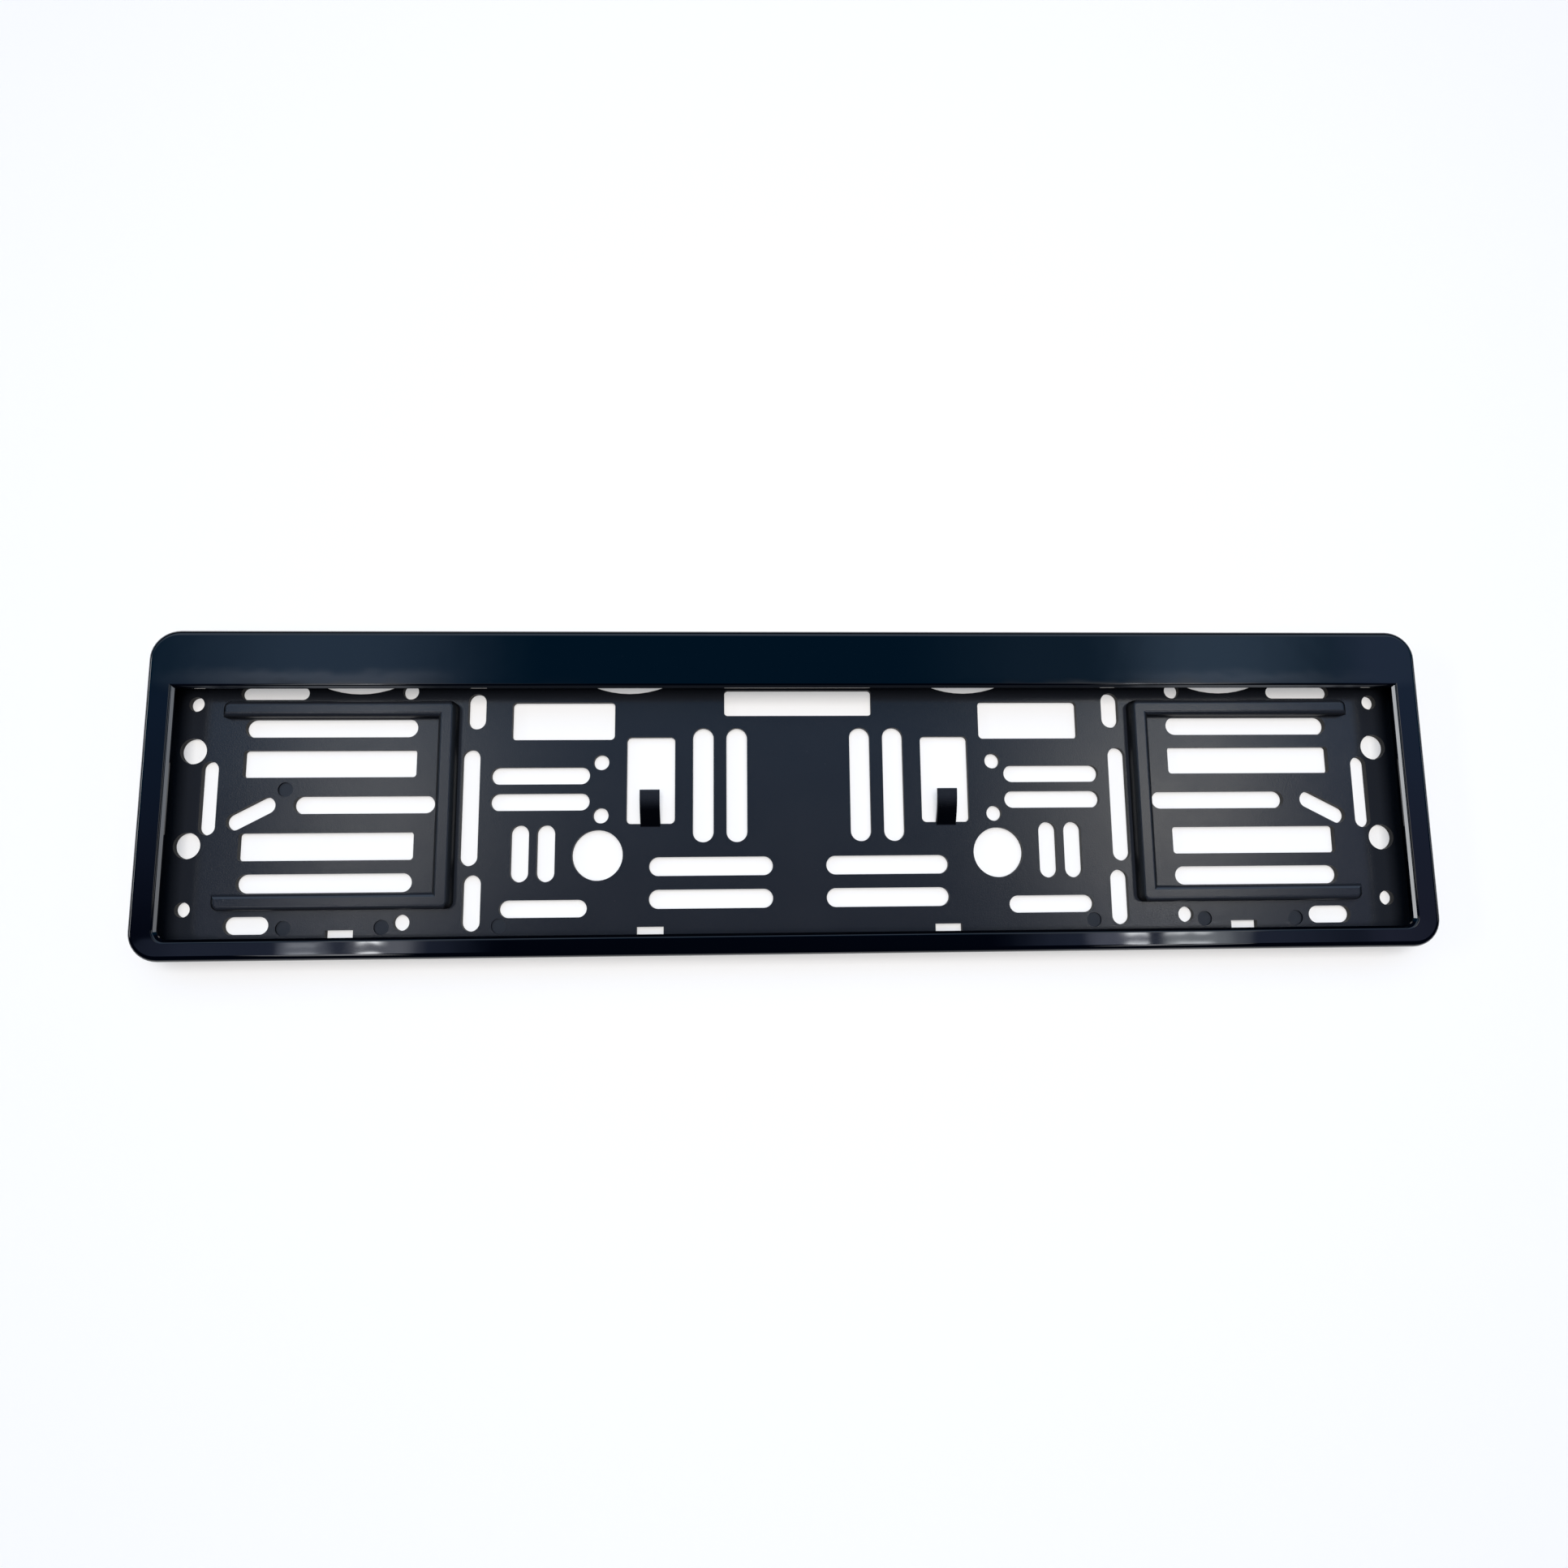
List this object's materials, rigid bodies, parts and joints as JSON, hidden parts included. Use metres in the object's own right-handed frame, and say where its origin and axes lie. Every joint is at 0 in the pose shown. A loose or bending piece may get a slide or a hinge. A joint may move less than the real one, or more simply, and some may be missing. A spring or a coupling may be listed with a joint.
{
  "type": "number plate holder",
  "caption": "Flat rectangular car number plate holder: slotted back plate with raised ridges and spring tongues under a clip-on front frame with a wide strip.",
  "frame": {"origin": "centre of the outline, on the plane of the flat back that lies against the car", "axes": "+X along the plate's length, +Y toward the wide strip, +Z out through the front face"},
  "size_m": [0.53, 0.1338, 0.0165],
  "materials": {
    "grained_plastic": "fine moulded grain, matte charcoal black",
    "polished_plastic": "smooth glossy blue-black"
  },
  "bodies": {
    "root": {"base_plate": "grained_plastic", "front_frame": "polished_plastic"}
  },
  "joints": []
}
